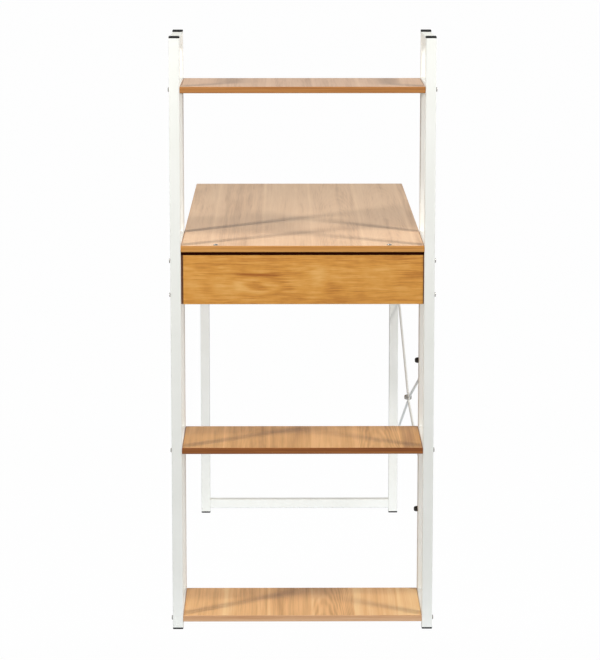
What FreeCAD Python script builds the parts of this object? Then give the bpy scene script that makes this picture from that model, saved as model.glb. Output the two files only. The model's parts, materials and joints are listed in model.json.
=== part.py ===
import FreeCAD, Part
import math
import os

# A desk with a shelf tower at its near end, on a frame of square steel tube.
# Millimetres. X runs across the desk, Y along it away from the tower, Z up from the floor.
# While it is built, X is measured from the tower's middle plane and Y from its near face.

# Stock
tube_side = 20.0
tube_wall = 1.2
tube_corner = 2.0
board_thickness = 12.0
board_edge_ease = 0.5

# Tower: width and depth over the uprights, and the desktop's upper face above the floor.
# The shelves and the tower's top are stacked from the desktop, upper face to upper face.
tower_width = 500.0
tower_depth = 210.0
desk_height = 746.0
top_shelf_rise = 300.0
tower_top_rise = 94.0
lower_shelf_drop = 389.0
bottom_rail_height = 11.0

# Desk, its apron and the frame at its far end
desk_length = 1020.0
end_leg_inset = 8.0
end_overhang = 24.0
apron_height = 100.0
apron_rebate_height = 6.0
apron_rebate_depth = 3.5

# Plastic caps and feet: a flange outside the tube and a hollow plug inside it
cap_flange = 3.6
foot_flange = 3.5
flange_ease = 1.2
plug_length = 14.0
plug_wall = 1.8
plug_clearance = 0.3

# Wood screws
screw_diameter = 4.0
screw_length = 42.0
screw_tip = 5.0
screw_head_diameter = 9.0
screw_head_height = 2.4
screw_head_ease = 1.2
screw_clearance = 0.3
apron_screw_spacing = 65.0
apron_screw_inset = 66.0

# Cross brace: height between its bolts, the drop of its crossing below the lower shelf's
# middle plane, and how far the crossing is pulled in from a straight line
brace_spread = 300.0
brace_drop = 10.0
brace_pull = 8.0
rod_diameter = 5.0
rod_flat_thickness = 2.5
rod_neck_width = 8.0
rod_eye_diameter = 13.0
rod_taper = 7.0
rod_start_gap = 3.0

# Machine bolts and domed nuts of the brace
bolt_diameter = 6.0
bolt_head_diameter = 10.5
bolt_head_height = 3.3
bolt_head_ease = 1.8
bolt_end_ease = 0.8
bolt_clearance = 0.3
nut_across_flats = 10.0
nut_hex_height = 4.0
nut_dome_height = 3.4
nut_bore_depth = 5.0

# Places that follow from the sizes above
outer_x = tower_width / 2
inner_x = outer_x - tube_side
upright_x = outer_x - tube_side / 2
near_y = tube_side / 2
far_y = tower_depth - tube_side / 2
top_shelf_height = desk_height + top_shelf_rise
tower_height = top_shelf_height + tower_top_rise
lower_shelf_height = desk_height - lower_shelf_drop
bottom_shelf_mid = bottom_rail_height + tube_side / 2
lower_shelf_mid = lower_shelf_height - board_thickness / 2
desk_mid = desk_height - board_thickness / 2
top_shelf_mid = top_shelf_height - board_thickness / 2
desk_underside = desk_height - board_thickness
apron_mid = desk_underside - apron_height / 2
under_desk_z = desk_underside - tube_side / 2
upright_top = tower_height - cap_flange
top_rail_mid = upright_top - tube_side / 2
leg_outer_x = inner_x - end_leg_inset
leg_x = leg_outer_x - tube_side / 2
leg_y = desk_length - end_overhang - tube_side / 2
end_rail_mid = bottom_rail_height + tube_side / 2
brace_low = lower_shelf_mid - brace_drop - brace_spread / 2
brace_high = brace_low + brace_spread
screw_hole = screw_diameter + 2 * screw_clearance
bolt_hole = bolt_diameter + 2 * bolt_clearance
screw_grip = screw_length - tube_side
apron_screw_x = inner_x - apron_screw_inset

AXIS = {"x": FreeCAD.Vector(1, 0, 0), "y": FreeCAD.Vector(0, 1, 0), "z": FreeCAD.Vector(0, 0, 1)}
SIDES = {"left": -1, "right": 1}
PLACES = {"near": near_y, "far": far_y}
RAILS = {
    "bottom": bottom_shelf_mid,
    "lower": lower_shelf_mid,
    "desk": desk_mid,
    "upper": top_shelf_mid,
    "top": top_rail_mid,
}


def point(x, y, z):
    return FreeCAD.Vector(x, y, z)


def edges_along(shape, axis):
    """The straight edges of a shape that run along an axis."""
    found = []
    for edge in shape.Edges:
        if abs(edge.tangentAt(edge.FirstParameter).dot(AXIS[axis])) > math.cos(math.radians(1)):
            found.append(edge)
    return found


def bar(start, length, side, corner, axis):
    """A solid square bar, its long edges rounded by corner; start is the middle of its first end."""
    size = {name: side for name in AXIS}
    size[axis] = length
    shape = Part.makeBox(size["x"], size["y"], size["z"])
    across = [AXIS[name] for name in AXIS if name != axis]
    shape.translate(start - (across[0] + across[1]) * (side / 2))
    if corner > 0:
        shape = shape.makeFillet(corner, edges_along(shape, axis))
    return shape


def tube(start, length, axis):
    outside = bar(start, length, tube_side, tube_corner, axis)
    inside = bar(start, length, tube_side - 2 * tube_wall, tube_corner - tube_wall, axis)
    return outside.cut(inside)


def drill(shape, start, direction, depth, diameter):
    return shape.cut(Part.makeCylinder(diameter / 2, depth, start, direction))


def board(size_x, size_y, size_z, x, y, z):
    """A board with eased edges; x, y and z are its lowest corner."""
    shape = Part.makeBox(size_x, size_y, size_z, point(x, y, z))
    return shape.makeChamfer(board_edge_ease, shape.Edges)


def hexagon(across_flats, height, z):
    """An upright hexagonal prism on the Z axis."""
    reach = across_flats / 2 / math.cos(math.pi / 6)
    corners = []
    for step in range(7):
        angle = step * math.pi / 3
        corners.append(point(reach * math.cos(angle), reach * math.sin(angle), z))
    return Part.Face(Part.makePolygon(corners)).extrude(point(0, 0, height))


def turned(profile):
    """A solid of revolution about Z, from the (radius, z) corners of half its section."""
    corners = [point(radius, 0, z) for radius, z in profile]
    face = Part.Face(Part.makePolygon(corners + [corners[0]]))
    return face.revolve(point(0, 0, 0), AXIS["z"], 360)


def head_profile(diameter, height, ease):
    """Half the section of a low round head that stands on Z = 0."""
    return [(0, height), (diameter / 2 - ease, height), (diameter / 2, height - ease), (diameter / 2, 0)]


def wood_screw():
    """A wood screw whose head rests on Z = 0 and whose pointed shank goes down."""
    radius = screw_diameter / 2
    shank = [(radius, 0), (radius, screw_tip - screw_length), (0, -screw_length)]
    return turned(head_profile(screw_head_diameter, screw_head_height, screw_head_ease) + shank)


def machine_bolt(length):
    """A machine bolt whose head rests on Z = 0 and whose shank goes down to an eased end."""
    radius = bolt_diameter / 2
    shank = [(radius, 0), (radius, bolt_end_ease - length), (radius - bolt_end_ease, -length), (0, -length)]
    return turned(head_profile(bolt_head_diameter, bolt_head_height, bolt_head_ease) + shank)


def domed_nut():
    """A domed nut that rests on Z = 0, with a blind bore for the bolt's end."""
    base = nut_across_flats / 2
    radius = (base ** 2 + nut_dome_height ** 2) / (2 * nut_dome_height)
    ball = Part.makeSphere(radius, point(0, 0, nut_hex_height + nut_dome_height - radius))
    above = Part.makeCylinder(base, nut_dome_height, point(0, 0, nut_hex_height))
    nut = hexagon(nut_across_flats, nut_hex_height, 0).fuse(ball.common(above)).removeSplitter()
    return drill(nut, point(0, 0, 0), AXIS["z"], nut_bore_depth, bolt_hole)


def placed(shape, seat, outward):
    """A copy of a fastener moved from Z = 0 to a seat, its head pointing outward."""
    copy = shape.copy()
    copy.Placement = FreeCAD.Placement(seat, FreeCAD.Rotation(AXIS["z"], outward))
    return copy


def plug(flange, x, y, open_z, up):
    """A cap (up = 1) or foot (up = -1) closing a tube whose open end is at open_z."""
    outward = AXIS["z"] * up
    lid = bar(point(x, y, min(open_z, open_z + up * flange)), flange, tube_side, tube_corner, "z")
    rim_z = open_z + up * flange
    rim = [edge for edge in lid.Edges if abs(edge.CenterOfMass.z - rim_z) < flange / 4]
    lid = lid.makeChamfer(flange_ease, rim)
    fit_side = tube_side - 2 * tube_wall - 2 * plug_clearance
    hollow_side = fit_side - 2 * plug_wall
    low = min(open_z, open_z - up * plug_length)
    stem = bar(point(x, y, low), plug_length, fit_side, 0, "z")
    hollow = bar(point(x, y, low), plug_length, hollow_side, 0, "z")
    hollow.translate(outward * -plug_wall)
    return lid.fuse(stem.cut(hollow)).removeSplitter()


def shelf_screw_heights():
    return [bottom_shelf_mid, lower_shelf_mid, top_shelf_mid]


def apron_screw_heights():
    return [apron_mid - apron_screw_spacing / 2, apron_mid + apron_screw_spacing / 2]


def upright(side, place):
    """A tower upright with the holes for the screws, and on the braced one for the bolts."""
    x = SIDES[side] * upright_x
    y = PLACES[place]
    shape = tube(point(x, y, foot_flange), upright_top - foot_flange, "z")
    heights = shelf_screw_heights()
    if place == "near":
        heights = heights + apron_screw_heights()
    for z in heights:
        shape = drill(shape, point(x - tube_side / 2, y, z), AXIS["x"], tube_side, screw_hole)
    if (side, place) == ("right", "far"):
        shape = brace_holes(shape, inner_x, y)
    return shape


def brace_holes(shape, x, y):
    for z in (brace_low, brace_high):
        shape = drill(shape, point(x, y, z), AXIS["x"], tube_side, bolt_hole)
    return shape


def side_rail(side, mid_z):
    return tube(point(SIDES[side] * upright_x, tube_side, mid_z), tower_depth - 2 * tube_side, "y")


def pilot_holes(shape, y, z):
    """Holes in both ends of a board, for the screws that come through the uprights."""
    for sign in SIDES.values():
        shape = drill(shape, point(sign * inner_x, y, z), AXIS["x"] * -sign, screw_grip, screw_hole)
    return shape


def shelf(mid_z):
    low_z = mid_z - board_thickness / 2
    shape = board(2 * inner_x, tower_depth, board_thickness, -inner_x, 0, low_z)
    for y in PLACES.values():
        shape = pilot_holes(shape, y, mid_z)
    return shape


def desktop():
    shape = board(2 * inner_x, desk_length, board_thickness, -inner_x, 0, desk_underside)
    down = AXIS["z"] * -1
    for sign in SIDES.values():
        top = point(sign * apron_screw_x, near_y, desk_height)
        shape = drill(shape, top, down, board_thickness, screw_hole)
    return shape


def apron():
    """The upright board under the desktop, with a rebate along its top that leaves a dark line below it."""
    low_y = near_y - board_thickness / 2
    low_z = desk_underside - apron_height
    shape = board(2 * inner_x, board_thickness, apron_height, -inner_x, low_y, low_z)
    rebate_z = desk_underside - apron_rebate_height
    rebate = Part.makeBox(
        2 * inner_x, apron_rebate_depth, apron_rebate_height, point(-inner_x, low_y, rebate_z)
    )
    shape = shape.cut(rebate)
    for z in apron_screw_heights():
        shape = pilot_holes(shape, near_y, z)
    depth = screw_length - board_thickness + screw_clearance
    for sign in SIDES.values():
        top = point(sign * apron_screw_x, near_y, desk_underside)
        shape = drill(shape, top, AXIS["z"] * -1, depth, screw_hole)
    return shape


def end_leg(side):
    x = SIDES[side] * leg_x
    shape = tube(point(x, leg_y, foot_flange), desk_underside - foot_flange, "z")
    if side == "right":
        shape = brace_holes(shape, leg_outer_x - tube_side, leg_y)
    return shape


def end_rail(mid_z):
    reach = leg_outer_x - tube_side
    return tube(point(-reach, leg_y, mid_z), 2 * reach, "x")


def cross_tube():
    return tube(point(-inner_x, far_y, under_desk_z), 2 * inner_x, "x")


def under_desk_tube(side):
    length = leg_y - tube_side / 2 - tower_depth
    return tube(point(SIDES[side] * leg_x, tower_depth, under_desk_z), length, "y")


def side_screws(places, heights):
    """Screws through the uprights of both sides into the ends of a board."""
    group = []
    for sign in SIDES.values():
        for y in places:
            for z in heights:
                group.append(placed(wood_screw(), point(sign * outer_x, y, z), AXIS["x"] * sign))
    return group


def apron_top_screws():
    group = []
    for sign in SIDES.values():
        seat = point(sign * apron_screw_x, near_y, desk_height)
        group.append(placed(wood_screw(), seat, AXIS["z"]))
    return group


def brace_ends(tower_z, leg_z, layer):
    """Middle points of a rod's three flats: at the tower, at the crossing and at the leg."""
    half = rod_flat_thickness / 2
    tower_end = point(outer_x + half, far_y, tower_z)
    leg_end = point(leg_outer_x + half, leg_y, leg_z)
    crossing = (tower_end + leg_end) * 0.5 + point(layer * half - brace_pull, 0, 0)
    return [tower_end, crossing, leg_end]


def flat_length(direction):
    """From a flat's hole to the start of the round rod, clear of the tube's edge."""
    return (tube_side / 2 + rod_start_gap) / abs(direction.y)


def flat(centre, direction, back, forward):
    """A flattened stretch of rod around a hole, running along a direction in the YZ plane."""
    plate = Part.makeBox(
        rod_flat_thickness,
        back + forward,
        rod_neck_width,
        point(-rod_flat_thickness / 2, -back, -rod_neck_width / 2),
    )
    plate.Placement = FreeCAD.Placement(centre, FreeCAD.Rotation(AXIS["y"], direction))
    eye_start = centre - point(rod_flat_thickness / 2, 0, 0)
    return plate.fuse(Part.makeCylinder(rod_eye_diameter / 2, rod_flat_thickness, eye_start, AXIS["x"]))


def round_stretch(start, end):
    """A stretch of round rod that tapers into the flats at both of its ends."""
    along = (end - start).normalize()
    length = (end - start).Length
    body = Part.makeCylinder(
        rod_diameter / 2, length - 2 * rod_taper, start + along * rod_taper, along
    )
    thin = rod_flat_thickness / 2
    first = Part.makeCone(thin, rod_diameter / 2, rod_taper, start, along)
    last = Part.makeCone(thin, rod_diameter / 2, rod_taper, end, along * -1)
    return body.fuse([first, last])


def brace_rod(tower_z, leg_z, layer):
    tower_end, crossing, leg_end = brace_ends(tower_z, leg_z, layer)
    direction = point(0, leg_end.y - tower_end.y, leg_end.z - tower_end.z).normalize()
    reach = flat_length(direction)
    overlap = rod_taper / 2
    step = direction * (reach - overlap)
    pieces = [
        flat(crossing, direction, reach, reach),
        flat(leg_end, direction, reach, 0),
        round_stretch(tower_end + step, crossing - step),
        round_stretch(crossing + step, leg_end - step),
    ]
    shape = flat(tower_end, direction, 0, reach).fuse(pieces).removeSplitter()
    for centre in (tower_end, crossing, leg_end):
        start = centre - point(rod_flat_thickness, 0, 0)
        shape = drill(shape, start, AXIS["x"], 2 * rod_flat_thickness, bolt_hole)
    return shape


def brace_bolt_seats():
    """Outer faces of the four rod ends, where the bolt heads rest."""
    seats = []
    for z in (brace_low, brace_high):
        seats.append(point(outer_x + rod_flat_thickness, far_y, z))
        seats.append(point(leg_outer_x + rod_flat_thickness, leg_y, z))
    return seats


def brace_bolts():
    length = rod_flat_thickness + tube_side + nut_hex_height
    return [placed(machine_bolt(length), seat, AXIS["x"]) for seat in brace_bolt_seats()]


def brace_nuts():
    inward = AXIS["x"] * -1
    through = rod_flat_thickness + tube_side
    return [placed(domed_nut(), seat + inward * through, inward) for seat in brace_bolt_seats()]


def crossing_face(outward):
    """The middle of the outer or inner face of the two stacked flats at the crossing."""
    crossing = brace_ends(brace_low, brace_high, 0)[1]
    return crossing + AXIS["x"] * (outward * rod_flat_thickness)


def crossing_bolt():
    length = 2 * rod_flat_thickness + nut_hex_height
    return placed(machine_bolt(length), crossing_face(1), AXIS["x"])


def crossing_nut():
    return placed(domed_nut(), crossing_face(-1), AXIS["x"] * -1)


def all_nodes():
    nodes = {}
    for side in SIDES:
        for place, y in PLACES.items():
            x = SIDES[side] * upright_x
            nodes["upright_" + place + "_" + side] = upright(side, place)
            nodes["cap_" + place + "_" + side] = plug(cap_flange, x, y, upright_top, 1)
            nodes["foot_" + place + "_" + side] = plug(foot_flange, x, y, foot_flange, -1)
        for level, mid_z in RAILS.items():
            nodes["rail_" + level + "_" + side] = side_rail(side, mid_z)
        nodes["end_leg_" + side] = end_leg(side)
        nodes["end_foot_" + side] = plug(foot_flange, SIDES[side] * leg_x, leg_y, foot_flange, -1)
        nodes["under_desk_tube_" + side] = under_desk_tube(side)
    nodes["end_rail_bottom"] = end_rail(end_rail_mid)
    nodes["end_rail_top"] = end_rail(under_desk_z)
    nodes["tower_cross_tube"] = cross_tube()
    nodes["bottom_shelf"] = shelf(bottom_shelf_mid)
    nodes["lower_shelf"] = shelf(lower_shelf_mid)
    nodes["top_shelf"] = shelf(top_shelf_mid)
    nodes["desktop"] = desktop()
    nodes["apron"] = apron()
    nodes["bottom_shelf_screws"] = side_screws(PLACES.values(), [bottom_shelf_mid])
    nodes["lower_shelf_screws"] = side_screws(PLACES.values(), [lower_shelf_mid])
    nodes["top_shelf_screws"] = side_screws(PLACES.values(), [top_shelf_mid])
    nodes["apron_side_screws"] = side_screws([near_y], apron_screw_heights())
    nodes["apron_top_screws"] = apron_top_screws()
    nodes["brace_rod_rising"] = brace_rod(brace_low, brace_high, -1)
    nodes["brace_rod_falling"] = brace_rod(brace_high, brace_low, 1)
    nodes["brace_bolts"] = brace_bolts()
    nodes["brace_nuts"] = brace_nuts()
    nodes["brace_crossing_bolt"] = crossing_bolt()
    nodes["brace_crossing_nut"] = crossing_nut()
    return nodes


def middle_of_base():
    """The middle of the object's outline on the floor, which becomes the origin."""
    right = outer_x + max(rod_flat_thickness + bolt_head_height, screw_head_height)
    left = -outer_x - screw_head_height
    return point((left + right) / 2, desk_length / 2, 0)


def main():
    os.makedirs("parts", exist_ok=True)
    shift = middle_of_base() * -1
    for name, made in all_nodes().items():
        shape = Part.makeCompound(made) if isinstance(made, list) else made
        shape.translate(shift)
        shape.exportStep("parts/" + name + ".step")


main()
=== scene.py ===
import json
import math

import bmesh
import bpy
from mathutils import Matrix, Vector


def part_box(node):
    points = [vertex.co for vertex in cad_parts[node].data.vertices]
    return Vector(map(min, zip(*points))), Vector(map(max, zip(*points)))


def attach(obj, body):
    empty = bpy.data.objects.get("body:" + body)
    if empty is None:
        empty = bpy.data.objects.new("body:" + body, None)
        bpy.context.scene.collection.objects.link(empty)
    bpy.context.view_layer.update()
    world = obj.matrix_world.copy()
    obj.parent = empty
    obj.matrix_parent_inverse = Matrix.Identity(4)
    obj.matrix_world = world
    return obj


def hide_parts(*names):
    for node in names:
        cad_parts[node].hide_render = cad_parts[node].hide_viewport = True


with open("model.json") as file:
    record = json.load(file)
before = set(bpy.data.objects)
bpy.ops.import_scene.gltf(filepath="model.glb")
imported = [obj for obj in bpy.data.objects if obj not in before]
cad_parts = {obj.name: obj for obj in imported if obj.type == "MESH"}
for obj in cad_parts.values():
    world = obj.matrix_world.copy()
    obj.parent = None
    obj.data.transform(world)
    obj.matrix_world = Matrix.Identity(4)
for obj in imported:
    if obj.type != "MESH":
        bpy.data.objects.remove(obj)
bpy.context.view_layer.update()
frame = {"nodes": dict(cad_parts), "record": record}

# Sizes below are in millimetres and are turned to metres with MM.
MM = 0.001

# The photographed view, in the part's frame
CAMERA_PLACE = Vector((-40.3, -5804.6, 1478.6)) * MM
CAMERA_DOWN = math.radians(9.577)
CAMERA_TURN = math.radians(-0.365)
CAMERA_SENSOR = 36.0
FOCAL_PIXELS = 2832.8
PICTURE_HEIGHT = 660

# Two small softboxes stand in front of the tower, one each side, and look down at it
LIGHT_TARGET = Vector((0.0, -405.0, 746.0)) * MM
LEFT_LIGHT_PLACE = Vector((-1460.0, -1410.0, 2070.0)) * MM
RIGHT_LIGHT_PLACE = Vector((1260.0, -1240.0, 2200.0)) * MM
LEFT_LIGHT_WIDTH = 190.0 * MM
RIGHT_LIGHT_WIDTH = 270.0 * MM
LIGHT_HEIGHT = 300.0 * MM
LEFT_LIGHT_POWER = 25.8
RIGHT_LIGHT_POWER = 20.4
LAMP_TINT = "#FFFDF9"

# The room: a soft fill from in front and from the right, a dim cool backdrop behind, and a dark ceiling.
# Levels are strengths, 1 being white. By the direction of a ray, the backdrop fades in between two cosines
# of its angle to BACK_WAY, and the ceiling fades out between two heights.
FRONT_LIGHT = 1.57
BACKDROP_LIGHT = 0.28
CEILING_LIGHT = 0.15
SHOWN_LIGHT = 1.0
FILL_TINT = "#F8FBFF"
COOL_TINT = "#E6EDF6"
WHITE = "#FFFFFF"
BACK_WAY = (-0.5, 0.866, 0.0)
BACKDROP_STARTS = (-0.35, 0.05)
CEILING_ENDS = (0.6, 0.35)

# The paper floor: grey to the light in front of the tower, pale and glowing a little behind it
FLOOR_SIZE = 80000.0 * MM
FLOOR_GREY = "#808080"
FLOOR_GLOW = 0.1
FLOOR_SHOWN_WHITE = 0.985
PALE_FLOOR_STARTS = (-900.0 * MM, -300.0 * MM)

# Boards: rounded edges, the apron's rebates and the slots of their materials, and the way the grain runs
BOARD_EDGE_ROUND = 1.3 * MM
BOARD_EDGE_STEPS = 4
REBATE_HEIGHT = 6.0 * MM
REBATE_LEFT = 4.5 * MM
REBATE_RIGHT = 2.0 * MM
REBATE_DEPTH = 3.5 * MM
SHADED_CORE_SLOT = 2
SHADED_SIDE_SLOT = 3
FLAT_FACE = 0.99
GRAIN_ALONG_DESK = Matrix.Identity(3)
GRAIN_ACROSS_DESK = Matrix(((0, 0, 1), (1, 0, 0), (0, 1, 0)))

# Printed oak, in millimetres: the arches of a plank, and the seams between planks
RING_ARC = 95.0
RING_SPREAD = 0.003
RING_DRIFT = 4.5
HEART_SPREAD = 1.2
ARCHED_SHARE = 0.3
SEAM_WIDTH = 6.0
WOOD_STOPS = (0.0, 0.5, 1.0)

# How much fine detail each kind of mark in the print has, and how deep the pores are pressed
PRINT_ROUGHNESS = 0.62
DRIFT_DETAIL = 3.0
SWAY_DETAIL = 2.0
PORE_DETAIL = 4.0
STREAK_DETAIL = 5.0
CLOUD_DETAIL = 2.0
PORE_DEPTH = 0.04 * MM
PORE_BUMP = 0.1

# Edge band: fine lines and streaks along the edge, and painted shade and light through the board's thickness
# from the lower edge up, where 0.5 is plain
BAND_PORE_SIZE = (70.0, 70.0, 1.6)
BAND_PORE_DETAIL = 3.0
BAND_STREAK_SIZE = (300.0, 300.0, 3.0)
BAND_STREAK_DETAIL = 2.0
BAND_PAINTED_LIGHT_PROFILE = ((0.0, 0.66), (0.3, 0.62), (0.62, 0.36), (0.85, 0.44), (1.0, 0.5))
BAND_WEIGHTS = (0.8, 1.2, 0.9)
BAND_ROUGHNESS = 0.45
BAND_SHINE = 0.3

# Bare particle board: its chips are painted near black, as the shade inside the apron's upper rebate
CHIP_SIZE = 1.5 * MM
SHADED_CHIP_COLOURS = ((0.1, "#2C0A02"), (0.8, "#401304"))
CORE_ROUGHNESS = 0.85
CORE_SHINE = 0.05

# Powder coat: the real peel is about 1 mm wide, and is drawn coarser so that it shows
PEEL_SIZE = 2.2 * MM
PEEL_DEPTH = 0.04 * MM
PEEL_BUMP = 0.12
COAT_CLOUD_SIZE = 60.0 * MM
COAT_DETAIL = 2.0
COAT_COLOURS = ((0.3, "#F5F5EE"), (0.7, "#F9F9F3"))
COAT_ROUGHNESS = (0.7, 0.8)
COAT_SHINE = 0.2

# Black plastic: the mould's real grain is about 0.1 mm, and is drawn coarser so that it shows
GRIT_SIZE = 0.7 * MM
GRIT_DEPTH = 0.05 * MM
GRIT_BUMP = 0.25
GRIT_DETAIL = 3.0
PLASTIC_COLOURS = ((0.35, "#0B0B0C"), (0.7, "#17171A"))
PLASTIC_ROUGHNESS = 0.7
PLASTIC_SHINE = 0.25

# Plated steel
BLOTCH_SIZE = 3.0 * MM
BLOTCH_DETAIL = 3.0
DARK_STEEL_COLOURS = ((0.35, "#242220"), (0.7, "#45423E"))
DARK_STEEL_ROUGHNESS = 0.3
ZINC_COLOURS = ((0.35, "#85837E"), (0.7, "#AFACA6"))
ZINC_ROUGHNESS = 0.2

# The print of each board, in millimetres across the grain, along it and through the board. The weights are
# for arches, plank tone, seams, pores, streaks and clouds. Pores are drawn wider than the real 0.3 mm, so
# that they show. Offset and sheet choose the planks and the part of the printed roll that a board gets.
SHELF_PRINT = {
    "plank": 85.0,
    "offset": 2656.76,
    "sheet": 0.0,
    "sway_size": (120.0, 380.0, 120.0),
    "sway": 9.0,
    "pore_size": (2.2, 160.0, 2.2),
    "streak_size": (12.0, 700.0, 12.0),
    "cloud_size": (40.0, 320.0, 40.0),
    "weights": (0.36, 0.65, 1.1, 0.75, 1.45, 0.95),
    "roughness": (0.52, 0.42),
    "shine": 0.27,
    "figure": (),
}
BOTTOM_PRINT = {**SHELF_PRINT, "offset": 891.76, "sheet": 600.0}
TOP_PRINT = {
    **SHELF_PRINT,
    "offset": 3695.76,
    "sheet": 1200.0,
    "weights": (0.08, 0.24, 0.55, 0.45, 0.9, 0.6),
    "roughness": (0.58, 0.48),
}
DESKTOP_PRINT = {**TOP_PRINT, "plank": 96.5, "offset": 2004.79, "sheet": 1800.0}

# The apron's figure: a swirl of rings, then pale flames and dark streaks, placed from the board's middle
APRON_PRINT = {
    "plank": 260.0,
    "offset": 0.5,
    "sheet": 0.0,
    "sway_size": (60.0, 170.0, 60.0),
    "sway": 17.0,
    "pore_size": (1.5, 42.0, 1.5),
    "streak_size": (4.6, 130.0, 4.6),
    "cloud_size": (24.0, 36.0, 24.0),
    "weights": (0.1, 0.0, 0.0, 0.85, 0.8, 0.45),
    "roughness": (0.42, 0.32),
    "shine": 0.4,
    "figure": (
        {"place": (-14.0, -88.0), "size": (70.0, 190.0), "weight": 0.13, "ragged": 0.3, "rings": 4},
        {"place": (-18.0, -130.0), "size": (24.0, 42.0), "weight": 0.2, "ragged": 2.4, "rings": 0},
        {"place": (4.0, 30.0), "size": (40.0, 30.0), "weight": 0.26, "ragged": 2.4, "rings": 0},
        {"place": (14.0, 150.0), "size": (20.0, 60.0), "weight": 0.14, "ragged": 2.0, "rings": 0},
        {"place": (9.0, -95.0), "size": (7.0, 95.0), "weight": -0.3, "ragged": 1.6, "rings": 0},
        {"place": (24.0, -190.0), "size": (12.0, 70.0), "weight": -0.16, "ragged": 1.6, "rings": 0},
        {"place": (-20.0, 52.0), "size": (18.0, 40.0), "weight": -0.14, "ragged": 1.6, "rings": 0},
        {"place": (10.0, 215.0), "size": (16.0, 60.0), "weight": -0.2, "ragged": 1.6, "rings": 0},
        {"place": (38.0, 60.0), "size": (18.0, 300.0), "weight": -0.1, "ragged": 1.2, "rings": 0},
        {"place": (-40.0, 40.0), "size": (18.0, 300.0), "weight": -0.1, "ragged": 1.2, "rings": 0},
    ),
}

# Colours from grain line to pale wood: the foil on the faces, then the band on the edges. The boards share
# one oak print; their colours differ partly as painted light and shade, with the lower shelf and its edge
# darker, the bottom shelf and its edge lighter and the top shelf greyer.
FOIL = ("#C09773", "#EDC69F", "#FCD8B1")
APRON_FOIL = ("#A45D14", "#DA9840", "#F2BE72")
# Painted shade: these dark colours of the apron's narrow side rebates stand in for the shadows of the
# uprights beside the apron
SIDE_BAND_SHADE_COLOURS = ("#75472A", "#885838", "#9B6A47")
BOARDS = {
    "top_shelf": (TOP_PRINT, ("#9C7A60", "#CAA78A", "#D8B698"), ("#925A29", "#B0743A", "#C38A4E")),
    "desktop": (DESKTOP_PRINT, FOIL, ("#AC6F32", "#CB8D46", "#DDA35B")),
    "lower_shelf": (SHELF_PRINT, ("#AE7A40", "#D19C5C", "#E7B273"), ("#723A15", "#905423", "#A96C36")),
    "bottom_shelf": (BOTTOM_PRINT, ("#C8904F", "#F2BA77", "#FFD293"), ("#BA865A", "#D3A47A", "#E3BA94")),
}

# Tube stock and the plastic mouldings in its ends
TUBE_SIDE = 20.0 * MM
TUBE_CORNER = 2.0 * MM
TUBE_WALL = 1.2 * MM
CAP_FLANGE = 3.6 * MM
FOOT_FLANGE = 3.5 * MM
MOULDING_ROUND = 1.2 * MM
MOULDING_STEPS = 5
PLUG_LENGTH = 14.0 * MM
PLUG_WALL = 1.8 * MM
PLUG_CLEARANCE = 0.3 * MM

# Wood screws
SCREW_HEAD_RADIUS = 4.5 * MM
SCREW_HEAD_HEIGHT = 2.4 * MM
SCREW_HEAD_ROUND = 1.5 * MM
SCREW_RADIUS = 2.0 * MM
SCREW_LENGTH = 42.0 * MM
SCREW_TIP = 5.0 * MM
SCREW_TIP_SHARE = 0.05
SCREW_SOCKET = 3.0 * MM
SCREW_SOCKET_DEPTH = 1.5 * MM

# Brace: bolts, domed nuts and flat-ended rods
BOLT_HEAD_RADIUS = 5.25 * MM
BOLT_HEAD_HEIGHT = 3.3 * MM
BOLT_HEAD_ROUND = 2.2 * MM
BOLT_RADIUS = 3.0 * MM
BOLT_SOCKET = 4.0 * MM
BOLT_SOCKET_DEPTH = 2.0 * MM
BOLT_END = 0.8 * MM
NUT_FLATS = 10.0 * MM
NUT_HEX_HEIGHT = 4.0 * MM
NUT_DOME_HEIGHT = 3.4 * MM
NUT_DOME_STEPS = 8
NUT_EDGE_ROUND = 0.3 * MM
NUT_EDGE_STEPS = 3
ROD_RADIUS = 2.5 * MM
ROD_FLAT = 2.5 * MM
ROD_NECK = 8.0 * MM
ROD_EYE_RADIUS = 6.5 * MM
ROD_EYE_TURNS = (20, 40, 65, 90)
ROD_EYE_TIP_SHARE = 0.2
ROD_TAPER = 7.0 * MM
ROD_START_GAP = 3.0 * MM
ROD_SIDES = 24
ROD_SMOOTH_ANGLE = 50

# How finely round shapes are drawn, and how near counts as touching
ROUND_SIDES = 40
HEXAGON_SIDES = 6
HEAD_STEPS = 6
SMOOTH_ANGLE = 35
NEAR = 0.01 * MM
PLACE_DIGITS = 5

# The ways that fasteners and mouldings face, and the axes that the boards are thin along
RIGHT = (1, 0, 0)
LEFT = (-1, 0, 0)
UP = (0, 0, 1)
DOWN = (0, 0, -1)
Y_AXIS = 1
Z_AXIS = 2

SLOT = {piece["node"]: piece["material_slot"] for piece in frame["record"]["subparts"]}


def linear(code, alpha=1.0):
    """An sRGB hex colour as linear RGBA."""
    parts = [int(code[start:start + 2], 16) / 255 for start in (1, 3, 5)]
    made = [part / 12.92 if part <= 0.04045 else ((part + 0.055) / 1.055) ** 2.4 for part in parts]
    return (*made, alpha)


def tinted(stops):
    """(place, hex colour) pairs as the stops of a colour ramp."""
    return [(place, linear(code)) for place, code in stops]


def add(tree, kind, inputs=None, stops=None, **settings):
    """Adds a shader node; each input is a value or another node's output, stops fill a colour ramp."""
    made = tree.nodes.new(kind)
    for name, value in settings.items():
        setattr(made, name, value)
    for key, value in (inputs or {}).items():
        if isinstance(value, bpy.types.NodeSocket):
            tree.links.new(value, made.inputs[key])
        else:
            made.inputs[key].default_value = value
    if stops:
        elements = made.color_ramp.elements
        elements[0].position, elements[0].color = stops[0]
        elements[-1].position, elements[-1].color = stops[-1]
        for place, colour in stops[1:-1]:
            elements.new(place).color = colour
    return made


def new_material(name):
    material = bpy.data.materials.new(name)
    material.use_nodes = True
    material.node_tree.nodes.clear()
    return material, material.node_tree


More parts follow.
